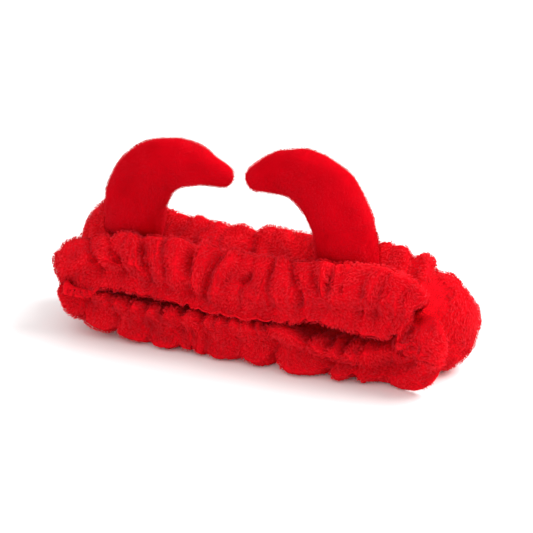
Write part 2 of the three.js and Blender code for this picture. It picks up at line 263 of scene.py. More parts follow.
def swollen(obj):
    start = readPoints(obj.data)
    blown(obj, horn)
    moved = readPoints(obj.data) - start
    far = np.linalg.norm(moved, axis=1, keepdims=True)
    writePoints(obj.data, start + moved * np.minimum(1.0, horn["cap"] / np.maximum(far, 1e-9)))

def buildHorn(node, seed):
    obj = addObject(node + "_cover", mergedMesh(node, node + "_cover"))
    remesh = obj.modifiers.new("remesh", "REMESH")
    remesh.mode = "VOXEL"
    remesh.voxel_size = horn["voxel"]
    evaluated(obj, obj.name)
    points = readPoints(obj.data)
    points = smoothed(points, edgeEnds(obj.data), 2)
    writePoints(obj.data, points)
    writePoints(obj.data, points - readNormals(obj.data) * horn["shrink"])
    swollen(obj)
    writePoints(obj.data, readPoints(obj.data) + readNormals(obj.data) * horn["plump"])
    subdivided(obj, 1)
    points = readPoints(obj.data)
    lumps = noiseField(points, horn["lumpSize"], seed)[:, :1]
    writePoints(obj.data, points + readNormals(obj.data) * (lumps * horn["lump"] - horn["rootDepth"]))
    for polygon in obj.data.polygons:
        polygon.use_smooth = True
    return obj

horns = [buildHorn("horn_left", 3), buildHorn("horn_right", 8)]
hornTrees = []
for cover in horns:
    polygons = [tuple(p.vertices) for p in cover.data.polygons]
    hornTrees.append(BVHTree.FromPolygons([v.co.copy() for v in cover.data.vertices], polygons))
print("horns:", [len(cover.data.polygons) for cover in horns])


# band: one gathered tube of fleece sewn into a loop, with the same sizes and tables as its solid

band = {
    "length": 0.246, "width": 0.065, "topThickness": 0.0355, "bottomThickness": 0.027, "opening": 0.007,
    "middle": (-0.00074, 0.00023),  # of the loop's own frame, in the object's
    "innerSkew": 0.35, "bendRoom": 0.87, "tightBend": 0.37, "easyBend": 0.65, "coreShare": 0.5,
    "restSink": 0.0024, "lift": 0.0006,  # pressed flat underneath, and the cloth's height above the floor there
    "sections": 860, "steps": 9,  # round the loop, and between two rows of the outline
    "foldDepth": 0.0088, "pleatDepth": 0.0070, "swell": 0.0016, "bump": 0.0018,
    "round": 2.2, "pleatRound": 2.1, "edge": 0.5,  # the shape of a lump from its crest to its crease
    "crestDepth": 0.7, "backDepth": 0.75,  # creases are shallower over the crests and on the back roll
    "fade": 0.6, "fadeSize": 0.013,  # how much a crease's depth varies along it
    "ruck": 0.0013, "ruckLength": 0.020, "ruckPitch": 0.0048,  # short wrinkles across the lumps
    "pinch": (-0.080, -0.092),  # the slot closes towards the left end between these
    "curtain": 0.0030, "rise": 0.0064,  # how far the slot's upper edge hangs and its lower one stands up
    "curtainEnds": (0.026, 0.056),  # they do so left of these
    "rightDrop": 0.0050,  # the upper edge comes down before the slot's right end
    "valleyShift": 0.36, "valleyCut": 0.0085, "slant": 0.011,  # the front roll gets narrow towards the right end
    "cornerBack": 0.0090,  # and its lower corner lies further back
    "lowBack": 0.0030,  # as does the lower layer's front edge, by less
    "leftLift": 0.0074, "backLift": 0.0022,  # the back roll stands higher at the left end, and in its middle
    "overlap": 0.0028,  # how far a lump leans over its neighbour
    "wander": 0.0042, "wanderSize": 0.019,  # of a crease from its line
    "dimple": 0.0011, "dimpleSize": 0.009,
    "crinkle": 0.00025, "crinkleSize": 0.003,
    "groove": 0.0036, "grooveWidth": 0.0034,
    "grooveShares": ((0.0, 0.3), (0.06, 0.8), (0.40, 0.9), (0.44, 0.15), (0.464, 0.1), (0.474, 1.3), (0.508, 1.3),
                     (0.52, 0.7), (0.56, 1.2), (0.93, 1.2), (0.97, 0.4), (1.0, 0.3)),  # how deep along the loop
    "dents": ((0.427, 0.434, 4.4, 2.7, 0.0030), (0.448, 0.460, 4.4, 2.7, 0.0036),
              (0.475, 0.468, 0.2, 2.2, 0.0048)),  # share and share, ring and ring, depth
    "dentWidth": 0.0026,
    "valleyShade": 0.5,  # painted shade in the valley: how dark the pile is painted down there, and how short it grows
    "rootDepth": 0.0017,  # from the pile's outside down to the cloth
}

puff = {  # the cloth simulation of the band
    "stride": 2, "skip": 3,  # the lattice is thinned for it
    "pressure": 5.0,
    "frames": 14,
    "cap": 0.0013,
    "rests": 0.003,  # what lies lower than this stays put
    "shutEnd": (-0.092, -0.076), "shutHeight": 0.028, "shutReach": 0.009,  # and so does the slot's closed left end
}

loopStations = [  # x, z, thick, droop, dip, skewX, skewZ
    (-0.99, 0.61, 1.05, -0.1, 0.45, -0.03, 0.05),
    (-0.92, 0.9, 0.94, -0.15, 0.55, -0.03, 0.15),
    (-0.7, 1.01, 1.0, -0.08, 0.62, 0, 0.10),
    (-0.36, 0.99, 1.0, -0.5, 0.62, 0, 0),
    (0.02, 0.97, 0.96, -0.74, 0.55, 0, 0),
    (0.42, 0.99, 0.98, -0.4, 0.62, 0, 0),
    (0.73, 1.02, 1.02, -0.3, 0.6, 0.03, -0.05),
    (0.93, 0.9, 1.04, -0.15, 0.55, 0.06, -0.13),
    (1.0, 0.45, 1.07, 0, 0.5, 0.15, -0.13),
    (0.93, 0.07, 1.12, 0, 0.4, 0.17, -0.02),
    (0.58, 0, 1.0, 0.1, 0.3, 0, 0),
    (0.18, 0, 1.0, 0.1, 0.3, 0, 0),
    (-0.22, 0, 1.0, 0.35, 0.3, 0, 0),
    (-0.56, 0, 0.98, 0.25, 0.3, 0, 0),
    (-0.82, 0.08, 0.94, 0.1, 0.35, -0.02, 0.02),
    (-0.99, 0.38, 1.08, 0, 0.4, -0.04, 0.02),
]

outlineRows = [  # y, n, droop, dip, grip, outer, down
    (-0.88, 0, 1, 0, 0.6, 0.5, 1),
    (-0.98, 0.42, 0.7, 0, 1, 1, 0.55),
    (-0.6, 1.04, 0, 0, 1, 1, 0),
    (0, 1, 0, -1, 0.55, 1, -0.4),
    (0.6, 1.04, 0, 0, 1, 1, 0),
    (0.98, 0.42, 0.7, 0, 1, 1, 0.55),
    (0.88, 0, 1, 0, 0.35, 0.5, 1),
    (0.95, -0.72, 0.4, 0, 0.9, 0, 0.6),
    (0.58, -1, 0, 0, 1, 0, 0),
    (0, -0.88, 0, 0, 0.8, 0, 0),
    (-0.58, -1, 0, 0, 1, 0, 0),
    (-0.95, -0.72, 0.4, 0, 0.9, 0, 0.6),
]

frontCreases = [  # at, lean, deep: shares of the loop from its left end over the top
    (0.045, 0.017, 1.1), (0.071, 0.022, 1.1), (0.112, 0.014, 1.05), (0.147, 0.002, 0.5),
    (0.183, 0.002, 1.1), (0.22, -0.016, 1.0), (0.243, -0.012, 0.35), (0.257, -0.008, 1.2),
    (0.285, 0.003, 0.75), (0.311, 0.014, 1.1), (0.333, 0.014, 1.0), (0.363, -0.018, 1.15),
    (0.38, -0.016, 0.55), (0.401, -0.006, 0.5), (0.421, -0.008, 0.6), (0.444, 0.002, 0.6),
    (0.468, 0.006, 2.6), (0.517, -0.004, 0.35), (0.551, 0.008, 0.6), (0.598, 0, 0.9),
    (0.633, 0, 1.1), (0.698, 0, 1.1), (0.744, 0, 0.9), (0.786, 0, 1.0),
    (0.806, 0, 0.9), (0.823, 0, 0.9), (0.862, 0, 0.9), (0.908, 0, 1.1),
    (0.952, 0, 0.8), (0.985, 0.01, 0.7),
]

backCreases = [
    (0.03, 0, 1.0), (0.068, 0, 0.9), (0.104, 0, 0.9), (0.135, -0.006, 0.8), (0.155, 0.006, 0.6),
    (0.188, 0.004, 0.9), (0.230, -0.01, 1.5), (0.258, -0.006, 0.7), (0.279, 0, 0.7), (0.312, 0, 1.0),
    (0.348, 0, 0.9), (0.376, 0, 0.8), (0.401, 0, 0.7), (0.426, 0, 1.1), (0.448, 0, 1.1),
    (0.515, 0, 0.8), (0.545, 0, 0.9),
]

innerPleats = [
    (0.553, 0.004, 1.0), (0.573, 0, 1.1), (0.59, 0, 1.2), (0.612, 0, 1.2), (0.631, 0, 0.9),
    (0.651, 0, 1.0), (0.708, 0, 1.1), (0.721, 0, 1.0), (0.738, 0, 0.9), (0.754, 0, 0.7),
    (0.768, 0, 0.9), (0.788, 0, 1.2), (0.817, 0, 1.2), (0.845, 0.002, 1.1), (0.866, 0.003, 1.1),
    (0.887, 0.004, 1.2), (0.91, 0.006, 1.0), (0.932, 0.008, 0.9),
]

backUnderside = (0.575, 0.985, 13)  # from, to, folds: gathered evenly where it doesn't show from the front
innerTop = (0.952, 1.533, 27)

def mix(a, b, share):
    return a + (b - a) * share

def smoothstep(values, low, high):
    t = np.clip((values - low) / (high - low), 0.0, 1.0)
    return t * t * (3 - 2 * t)

def irregular(step):
    value = math.sin(step * 12.9898 + 4.1414) * 43758.5453
    return 2 * (value - math.floor(value)) - 1

def evenCreases(start, end, folds):
    pitch = (end - start) / folds
    return [((start + pitch * (i + 0.5 + 0.22 * irregular(i + folds))) % 1, 0, 0.95 + 0.2 * irregular(i + 2 * folds))
            for i in range(folds)]

creases = {
    "front": np.array(sorted(frontCreases)),
    "back": np.array(sorted(backCreases + evenCreases(*backUnderside))),
    "inner": np.array(sorted(innerPleats + evenCreases(*innerTop))),
}

def closedRows(rows, places):  # a closed table read between its rows, on a uniform Catmull-Rom spline
    rows = np.array(rows, dtype=float)
    first = np.floor(places).astype(int)
    t = (places - first)[:, None]
    near = [rows[(first + k) % len(rows)] for k in (-1, 0, 1, 2)]
    weights = (((2 - t) * t - 1) * t, (3 * t - 5) * t * t + 2, ((4 - 3 * t) * t + 1) * t, (t - 1) * t * t)
    return 0.5 * sum(w * r for w, r in zip(weights, near)).T

endThickness = mix(band["bottomThickness"], band["topThickness"], 0.6) * loopStations[0][2]
halfLoop = (band["length"] - endThickness) / 2
layerRise = (band["bottomThickness"] + band["topThickness"]) / 2 + band["opening"]

def loopPoints(places):  # middle line of the cloth: x, z, half its thickness and the rest of the columns
    x, z, thick, *rest = closedRows(loopStations, places)
    half = thick * mix(band["bottomThickness"], band["topThickness"], np.clip(z, 0, 1)) / 2
    return [x * halfLoop, band["bottomThickness"] / 2 + z * layerRise, half, *rest]

finePlaces = np.arange(40 * len(loopStations)) / 40

def evenPlaces(steps):
    x, z = loopPoints(finePlaces)[:2]
    lengths = np.concatenate([[0], np.cumsum(np.hypot(np.roll(x, -1) - x, np.roll(z, -1) - z))])
    wanted = np.arange(steps) * lengths[-1] / steps
    return np.interp(wanted, lengths, np.arange(len(lengths)) / 40), lengths[-1]

def innerRooms(x, z, outX, outZ):  # radius of the largest circle inside the loop that touches each point
    fineX, fineZ = loopPoints(finePlaces)[:2]
    awayX, awayZ = fineX[None, :] - x[:, None], fineZ[None, :] - z[:, None]
    inward = -(awayX * outX[:, None] + awayZ * outZ[:, None])
    apart = awayX ** 2 + awayZ ** 2
    ahead = (inward > 0.02 * np.sqrt(apart)) & (apart > (0.02 * halfLoop) ** 2)
    return np.where(ahead, apart / (2 * np.where(ahead, inward, 1)), np.inf).min(axis=1)

def gather(rows, shares, down):  # for each point: how far from crest to crease, how deep, how wide, which lump
    wide = shares.shape[1]
    out = np.empty((4, *shares.shape))
    for j in range(wide):
        lies = rows[:, 0] + rows[:, 1] * down[j]
        at = shares[:, j] % 1
        after = np.searchsorted(lies, at, side="right")
        before = (after - 1) % len(lies)
        end = np.where(after == len(lies), lies[0] + 1, lies[after % len(lies)])
        start = np.where(after == 0, lies[-1] - 1, lies[before])
        part = (at - start) / (end - start)
        out[0, :, j] = 2 * part - 1
        out[1, :, j] = mix(rows[before, 2], rows[after % len(lies), 2], smoothstep(part, 0.2, 0.8))
        out[2, :, j] = end - start
        out[3, :, j] = before
    return out

def bandLattice():
    places, around = evenPlaces(band["sections"])
    x, z, half, droop, dip, skewX, skewZ = [v[:, None] for v in loopPoints(places)]
    ahead, behind = loopPoints(places + 0.01), loopPoints(places - 0.01)
    alongX, alongZ = (ahead[0] - behind[0])[:, None], (ahead[1] - behind[1])[:, None]
    far = np.hypot(alongX, alongZ)
    alongX, alongZ = alongX / far, alongZ / far
    outX, outZ = -alongZ, alongX
    room = innerRooms(x[:, 0], z[:, 0], outX[:, 0], outZ[:, 0])[:, None]
    squeeze = np.minimum(1, band["bendRoom"] * room / half)
    slack = smoothstep(room / band["bottomThickness"], band["tightBend"], band["easyBend"])

    steps = len(outlineRows) * band["steps"]
    ringPlaces = np.arange(steps) / band["steps"]
    rowY, rowN, rowDroop, rowDip, grip, outer, down = [v[None, :] for v in closedRows(outlineRows, ringPlaces)]
    outer = np.clip(outer, 0, 1)
    level = rowN + rowDroop * droop + rowDip * dip
    n = half * level * np.where(level < 0, squeeze, 1)
    y = rowY * band["width"] / 2 + 0 * n

    bare = np.stack([x + outX * n, y, z + outZ * n], axis=-1).reshape(-1, 3)
    drift = noiseField(bare, band["wanderSize"], 2)[:, 0].reshape(n.shape)
    shares = (np.arange(band["sections"]) / band["sections"])[:, None] + drift * band["wander"] / around
    slant = smoothstep(shares, 0.405, 0.425) * (1 - smoothstep(shares, 0.47, 0.5))
    slant = slant * band["slant"] * np.clip((4 - ringPlaces) / 2, -0.3, 1)[None, :]
    front, inner = gather(creases["front"], shares, down[0]), gather(creases["inner"], shares, down[0])
    back = gather(creases["back"], shares - slant, down[0])
    backness = smoothstep(rowY, -0.3, 0.3)

    flat = np.stack([shares.ravel() * around, (ringPlaces[None, :] * 0.0145 + 0 * n).ravel(), 0 * n.ravel()], axis=1)
    fading = 1 + band["fade"] * 2 * noiseField(bare, band["fadeSize"], 7)[:, 0].reshape(n.shape)
    fading = mix(1, fading, 1 - smoothstep(shares, 0.41, 0.43) * (1 - smoothstep(shares, 0.5, 0.52)))
    atEnd = smoothstep(shares, 0.405, 0.465) * (1 - smoothstep(shares, 0.53, 0.57))
    ruckField = noiseField(flat / (band["ruckPitch"], band["ruckLength"], 1), 1.0, 8)[:, 0].reshape(n.shape)
    ruck = np.exp(-(ruckField / 0.16) ** 2) * np.clip(0.3 + 1.6 * noiseField(bare, 0.018, 9)[:, 2], 0, 1).reshape(n.shape)

    def profile(part, deep, wide, depth, power):  # inward move from a lump's crest to the bottom of its crease
        narrow = np.minimum(1, (wide * around / 0.013)) ** 0.6
        return depth * deep * narrow * (1 - (1 - np.abs(part) ** power) ** band["edge"])

    meanWide = 1 / len(frontCreases)
    fold = mix(profile(*front[:3], band["foldDepth"], band["round"]),
               profile(*back[:3], band["foldDepth"] * band["backDepth"], band["round"]), backness)
    onCrest = np.exp(-((np.abs(rowY) - 0.62) / 0.2) ** 2) * (rowN > 0)
    behindCrest = smoothstep(rowY, 0.45, 0.85) * (rowN > 0)
    fold = fold * np.clip(fading, 0.15, 1.5) * mix(1, band["crestDepth"], onCrest) * (1 - 0.45 * behindCrest)
    swell = mix((front[2] / meanWide - 1) * (1 - front[0] ** 2), (back[2] / meanWide - 1) * (1 - back[0] ** 2), backness)
    pleat = profile(*inner[:3], band["pleatDepth"], band["pleatRound"])
    topEdge = smoothstep(np.abs(rowY), 0.55, 0.85) * (shares < 0.48)
    pleat = pleat * (1 - 0.6 * topEdge) * (1 - 0.7 * smoothstep(x, 0.066, 0.08)) * smoothstep(x, -0.1, -0.082)
    lowFront = smoothstep(shares, 0.3, 0.35) * (1 - smoothstep(shares, 0.42, 0.44)) * (np.abs(ringPlaces - 6) > 4.2)[None, :]
    fold = fold * (1 - 0.6 * lowFront * (1 - smoothstep(np.minimum(ringPlaces, 12 - ringPlaces), 0.6, 1.5)[None, :]))
    below = smoothstep(shares, 0.54, 0.58) * (1 - smoothstep(shares, 0.94, 0.97))
    fold = fold * (1 - 0.35 * below)
    fold = fold * (1 - 0.4 * smoothstep(shares, 0.5, 0.515) * (1 - smoothstep(shares, 0.575, 0.6)))
    own = np.array([irregular(i * 3.7) for i in range(64)])
    bump = mix(own[front[3].astype(int)] * (1 - front[0] ** 2), own[back[3].astype(int) + 7] * (1 - back[0] ** 2), backness)
    depth = fold * outer * mix(slack, 1, outer) + pleat * (1 - outer) * slack
    corner = smoothstep(shares, 0.49, 0.51) * (1 - smoothstep(shares, 0.56, 0.58))
    depth = depth - (swell * band["swell"] + bump * band["bump"]) * outer * (1 - corner)
    knob = smoothstep(shares, 0.462, 0.474) * (1 - smoothstep(shares, 0.505, 0.52))
    away = np.abs((ringPlaces[None, :] + 0.42 * knob + 6) % 12 - 6)
    away = np.minimum(away, np.abs(ringPlaces - 6)[None, :]) * 0.0145
    strength = 0.7 + 0.6 * noiseField(bare, 0.03, 4)[:, 1].reshape(n.shape)
    cut = band["groove"] * np.exp(-(away / band["grooveWidth"]) ** 1.5) * np.clip(strength, 0, 1)
    cut = cut * np.interp(shares, *np.array(band["grooveShares"]).T)
    middle = np.abs(ringPlaces - 3)[None, :] * 0.0145
    cut = cut * (0.5 + front[0] ** 2)
    cut = cut + band["valleyCut"] * atEnd * np.exp(-(middle / 0.0075) ** 2)
    for share, farShare, ring, farRing, deep in band["dents"]:
        part = ((ringPlaces - ring) / (farRing - ring))[None, :]
        line = (shares - share - (farShare - share) * np.clip(part, 0, 1)) * around / band["dentWidth"]
        cut = cut + deep * np.exp(-line ** 2) * smoothstep(part, -0.12, 0.12) * (1 - smoothstep(part, 0.88, 1.12))
    grip = mix(grip, 1, atEnd * outer) * (1 - 0.45 * below * np.exp(-(away / 0.004) ** 2))
    depth = depth * grip + cut
    dimple = noiseField(bare, band["dimpleSize"], 5)[:, 0].reshape(n.shape) * band["dimple"]
    crinkle = noiseField(bare, band["crinkleSize"], 6)[:, 0].reshape(n.shape) * band["crinkle"]
    depth = depth + (dimple + crinkle + ruck * band["ruck"]) * mix(slack, 1, outer)

    coreY = band["coreShare"] * y
    reach = np.maximum(np.hypot(y - coreY, n), 1e-6)
    y, n = y - (y - coreY) * depth / reach, n - n * depth / reach
    lean = mix(own[front[3].astype(int) + 3] * (1 - front[0] ** 2), own[back[3].astype(int) + 9] * (1 - back[0] ** 2),
               backness)
    lean = lean * band["overlap"] * outer
    corner = smoothstep(shares, 0.505, 0.525) * (1 - smoothstep(shares, 0.57, 0.6))
    shift = band["cornerBack"] * corner
    shift = shift + band["lowBack"] * smoothstep(shares, 0.57, 0.62) * (1 - smoothstep(shares, 0.86, 0.92)) * outer
    y = y + shift * (1 - smoothstep(rowY, -0.95, -0.1))
    y = y - band["valleyShift"] * band["width"] / 2 * atEnd * (1 - rowY ** 2) * outer
    skew = rowY * band["width"] / 2 * mix(band["innerSkew"], 1, outer)
    px = x + outX * n + skewX * skew + alongX * lean + band["middle"][0]
    pz = z + outZ * n + skewZ * skew + alongZ * lean - band["restSink"]
    middleZ = band["bottomThickness"] + band["opening"] / 2 - band["restSink"]
    shut = smoothstep(px, *band["pinch"][::-1])
    shut = (1 - shut) * (1 - smoothstep(outer, 0.15, 0.5)) * smoothstep(np.abs(rowY), 0.3, 0.7)
    pz = mix(pz, middleZ - 0.0011 * np.sign(pz - middleZ), shut)
    edge0 = smoothstep(np.abs(rowY), 0.45, 0.85) * (1 - smoothstep(outer, 0.35, 0.95))
    edge = edge0 * (1 - smoothstep(px, *band["curtainEnds"])) * (1 - shut)
    above = z > layerRise / 2 + band["bottomThickness"] / 2
    pz = pz + edge * np.where(above, -band["curtain"], band["rise"])
    behind = smoothstep(rowY, -0.2, 0.5) * outer * above
    pz = pz - band["rightDrop"] * edge0 * above * smoothstep(px, 0.045, 0.078) * (1 - smoothstep(px, 0.09, 0.105))
    pz = pz + band["leftLift"] * behind * (1 - smoothstep(px, -0.095, -0.065)) * smoothstep(px, -0.13, -0.1)
    pz = pz + band["backLift"] * behind * smoothstep(shares, 0.235, 0.255) * (1 - smoothstep(shares, 0.32, 0.34))
    px = px + 0.0022 * smoothstep(-px, 0.104, 0.122) * (1 - smoothstep(pz, 0.03, 0.045))
    points = np.stack([px, y + band["middle"][1], np.maximum(pz, 0)], axis=-1)
    crest = 1 - np.clip(depth / band["foldDepth"], 0, 1)
    # in the valley crest drops, which paints shade on the pile there and makes it shorter
    inValley = np.exp(-((ringPlaces[None, :] - 2.8) / 0.45) ** 2) * (shares < 0.56) * mix(0.35, 1, atEnd)
    crest = np.clip(crest - band["valleyShade"] * inValley, 0, 1)
    return points, crest, outer + 0 * n, rowY + 0 * n

def weaveQuads(rings, steps):  # quads between the points of a lattice that closes both ways
    index = np.arange(rings * steps).reshape(rings, steps)
    ahead, beside = np.roll(index, -1, axis=0), np.roll(index, -1, axis=1)
    return np.stack([index, ahead, np.roll(ahead, -1, axis=1), beside], axis=-1).reshape(-1, 4)

def refined(values, axis, times):  # a periodic lattice read between its rows
    after = np.roll(values, -1, axis=axis)
    parts = [mix(values, after, k / times) for k in range(times)]
    stacked = np.stack(parts, axis=axis + 1)
    shape = list(values.shape)
    shape[axis] *= times
    return stacked.reshape(shape)

def puffed(lattice, crest, outer):  # the lumps blow up between their creases, which the gathering holds
    stride, skip = puff["stride"], puff["skip"]
    coarse, hold = lattice[::stride, ::skip], 1 - crest[::stride, ::skip]
    rings, steps = coarse.shape[:2]
    mesh = bpy.data.meshes.new("band_puff")
    mesh.from_pydata(coarse.reshape(-1, 3).tolist(), [], weaveQuads(rings, steps).tolist())
    obj = addObject("band_puff", mesh)
    group = obj.vertex_groups.new(name="gathers")
    hold = np.maximum(smoothstep(hold, 0.2, 0.6), 1 - smoothstep(outer[::stride, ::skip], 0.4, 0.9))
    x, z = coarse[:, :, 0], coarse[:, :, 2]
    hold = np.where(z < puff["rests"], 1, hold).ravel()
    for i, weight in enumerate(hold.tolist()):
        group.add([i], weight, "REPLACE")
    blown(obj, puff, "gathers")
    moved = readPoints(obj.data).reshape(rings, steps, 3) - coarse
    far = np.linalg.norm(moved, axis=2, keepdims=True)
    print("band puffed by up to", round(float(far.max()) * 1000, 2), "mm")
    moved = moved * np.minimum(1.0, puff["cap"] / np.maximum(far, 1e-9))
    shut = (1 - smoothstep(x, *puff["shutEnd"])) * np.exp(-((z - puff["shutHeight"]) / puff["shutReach"]) ** 2)
    fade = smoothstep(outer[::stride, ::skip], 0.3, 1.0) * (1 - shut)
    moved = moved * fade[:, :, None]
    bpy.data.objects.remove(obj)
    return lattice + refined(refined(moved, 0, stride), 1, skip)

def buildBand():
    lattice, crest, outer, side = bandLattice()
    lattice = puffed(lattice, crest, outer)
    rings, steps = lattice.shape[:2]
    mesh = bpy.data.meshes.new("band_cloth")
    mesh.from_pydata(lattice.reshape(-1, 3).tolist(), [], weaveQuads(rings, steps).tolist())
    ends = edgeEnds(mesh)
    soft = unit(smoothed(readNormals(mesh), ends, 3))
    points = readPoints(mesh)
    low = np.clip((0.010 - points[:, 2:]) / 0.008, 0, 1)
    points = points - soft * band["rootDepth"] * (1 - 0.4 * low)
    points[:, 2] = np.maximum(points[:, 2], band["lift"])
    writePoints(mesh, points)
    for polygon in mesh.polygons:
        polygon.use_smooth = True
    return addObject("band_cloth", mesh), crest.ravel(), outer.ravel(), side.ravel()

bandCloth, bandCrest, bandOuter, bandSide = buildBand()
print("band cloth:", len(bandCloth.data.polygons), "quads")


# long pile: tufts of curved fibres spread over the cloth

pile = {
    "length": 0.0027,
    "spacing": 0.00090,  # closest that two tufts stand
    "density": 1300000.0,  # tufts a square metre
    "swirlSize": 0.012,
    "hang": 0.6,  # how far the fibres lean down, against the swirls
    "jitter": 0.07,
    "kinds": 8,
    "fibres": 5,
    "clump": 0.00055,
    "draw": 0.5,  # how far a lock's fibres come together at its tip
    "stray": 0.1,
    "width": 0.00028,
    "bend": 0.22,  # how far a lock curls aside
    "rise": 40.0,  # degrees that a fibre leans over by its middle
    "fall": 70.0,  # and by its tip
    "pieces": 5,
}

fuzz = {  # the horns' short brushed pile
    "length": 0.0013,
    "spacing": 0.00052,
    "density": 3500000.0,
    "swirlSize": 0.016,
    "jitter": 0.35,
    "kinds": 8,
    "fibres": 2,
    "clump": 0.0003,
    "draw": 0.2,
    "stray": 0.3,
    "width": 0.00018,
    "bend": 0.2,
    "rise": 20.0,
    "fall": 48.0,
}

def tuftMesh(kind, style):  # a lock of fibres that rise along Z, lean over towards X and draw together
    rng = np.random.default_rng(40 + kind)
    verts, faces, along = [], [], []
    curl = style["bend"] * rng.uniform(-1, 1)
    for fibre in range(style["fibres"]):
        turn, far = rng.uniform(0, 2 * math.pi), math.sqrt(rng.uniform(0, 1))
        root = np.array([math.cos(turn), math.sin(turn), 0.0]) * style["clump"] * far
        tall = style["length"] * rng.uniform(0.65, 1.1)
        aside, twist = rng.normal(0, style["stray"]), rng.normal(0, 0.18)
        side = np.array([-math.sin(aside), math.cos(aside), math.sin(twist)])
        side *= style["width"] * rng.uniform(0.75, 1.25) / np.linalg.norm(side)
        a = len(verts)
        verts.append(root)
        spine = np.zeros(3)
        for share, lean in ((0.5, style["rise"]), (1.0, style["fall"])):
            angle = math.radians(lean + rng.normal(0, 7))
            flat = tall * 0.5 * math.sin(angle)
            turned = aside + curl * (2 * share - 1)
            spine = spine + np.array((flat * math.cos(turned), flat * math.sin(turned), tall * 0.5 * math.cos(angle)))
            place = spine + root * (1 - share * style["draw"])
            if share < 1:
                verts += [place - side / 2, place + side / 2]
            else:
                verts.append(place)
        along += [0.0, 0.5, 0.5, 1.0]
        faces += [(a, a + 1, a + 2), (a + 1, a + 3, a + 2)]
    mesh = bpy.data.meshes.new("tuft%d" % kind)
    mesh.from_pydata([tuple(v) for v in verts], [], faces)
    storeFloats(mesh, "along", np.array(along))
    return mesh

def tuftCollection(name, style):
    tufts = bpy.data.collections.new(name)
    scene.collection.children.link(tufts)
    for kind in range(style["kinds"]):
        tufts.objects.link(bpy.data.objects.new("%s_%d" % (name, kind), tuftMesh(kind, style)))
    return tufts

def dropCollection(tufts):
    for obj in list(tufts.objects):
        bpy.data.objects.remove(obj)
    bpy.data.collections.remove(tufts)

def spreadTree(name):  # spreads the pieces of a collection over a mesh, standing along its comb attribute
    tree = bpy.data.node_groups.new(name, "GeometryNodeTree")
    face = tree.interface
    face.new_socket("Geometry", in_out="INPUT", socket_type="NodeSocketGeometry")
    for label, kind in (("Tufts", "NodeSocketCollection"), ("Material", "NodeSocketMaterial"),
                        ("Spacing", "NodeSocketFloat"), ("Density", "NodeSocketFloat"),
                        ("Jitter", "NodeSocketFloat"), ("Seed", "NodeSocketInt")):
        face.new_socket(label, in_out="INPUT", socket_type=kind)
    face.new_socket("Geometry", in_out="OUTPUT", socket_type="NodeSocketGeometry")
    add, link = tree.nodes.new, tree.links.new
    given, result = add("NodeGroupInput"), add("NodeGroupOutput")

    def named(name, kind):
        node = add("GeometryNodeInputNamedAttribute")
        node.data_type = kind
        node.inputs["Name"].default_value = name
        return node.outputs["Attribute"]

    def randomValue(kind, low, high, seed):
        node = add("FunctionNodeRandomValue")
        node.data_type = kind
        lows = [s for s in node.inputs if s.name == "Min" and s.enabled][0]
        highs = [s for s in node.inputs if s.name == "Max" and s.enabled][0]
        lows.default_value, highs.default_value = low, high
        offset = add("ShaderNodeMath")
        offset.inputs[1].default_value = seed
        link(given.outputs["Seed"], offset.inputs[0])
        link(offset.outputs[0], node.inputs["Seed"])
        return [s for s in node.outputs if s.enabled][0]

    scatter = add("GeometryNodeDistributePointsOnFaces")
    scatter.distribute_method = "POISSON"
    link(given.outputs["Geometry"], scatter.inputs["Mesh"])
    link(given.outputs["Spacing"], scatter.inputs["Distance Min"])
    link(given.outputs["Density"], scatter.inputs["Density Max"])
    link(named("cover", "FLOAT"), scatter.inputs["Density Factor"])
    link(given.outputs["Seed"], scatter.inputs["Seed"])

    shake = add("ShaderNodeVectorMath")
    shake.operation = "SCALE"
    link(randomValue("FLOAT_VECTOR", (-1, -1, -1), (1, 1, 1), 11), shake.inputs[0])
    link(given.outputs["Jitter"], shake.inputs["Scale"])
    way = add("ShaderNodeVectorMath")
    link(named("comb", "FLOAT_VECTOR"), way.inputs[0])
    link(shake.outputs[0], way.inputs[1])
    stand = add("FunctionNodeAlignRotationToVector")
    stand.axis = "Z"
    link(named("out", "FLOAT_VECTOR"), stand.inputs["Vector"])
    spin = add("FunctionNodeAlignRotationToVector")
    spin.axis, spin.pivot_axis = "X", "Z"
    link(stand.outputs[0], spin.inputs["Rotation"])
    link(way.outputs[0], spin.inputs["Vector"])

    tall = add("ShaderNodeMath")
    tall.operation = "MULTIPLY"
    link(randomValue("FLOAT", 0.8, 1.15, 31), tall.inputs[0])
    link(named("tall", "FLOAT"), tall.inputs[1])

    pick = add("GeometryNodeCollectionInfo")
    pick.inputs["Separate Children"].default_value = True
    pick.inputs["Reset Children"].default_value = True
    link(given.outputs["Tufts"], pick.inputs["Collection"])
    place = add("GeometryNodeInstanceOnPoints")
    place.inputs["Pick Instance"].default_value = True
    link(scatter.outputs["Points"], place.inputs["Points"])
    link(pick.outputs[0], place.inputs["Instance"])
    link(randomValue("INT", 0, pile["kinds"] - 1, 47), place.inputs["Instance Index"])
    link(spin.outputs[0], place.inputs["Rotation"])
    link(tall.outputs[0], place.inputs["Scale"])

    store = add("GeometryNodeStoreNamedAttribute")
    store.data_type = "FLOAT"
    store.domain = "INSTANCE"
    store.inputs["Name"].default_value = "tuft"
    link(place.outputs["Instances"], store.inputs["Geometry"])
    link(randomValue("FLOAT", 0.0, 1.0, 59), [s for s in store.inputs if s.name == "Value" and s.enabled][0])
    real = add("GeometryNodeRealizeInstances")
    link(store.outputs["Geometry"], real.inputs["Geometry"])
    paint = add("GeometryNodeSetMaterial")
    link(real.outputs["Geometry"], paint.inputs["Geometry"])
    link(given.outputs["Material"], paint.inputs["Material"])
    link(paint.outputs["Geometry"], result.inputs[0])
    return tree

def setInputs(modifier, tree, values):
    for item in tree.interface.items_tree:
        if item.item_type == "SOCKET" and item.in_out == "INPUT" and item.name in values:
            modifier[item.identifier] = values[item.name]

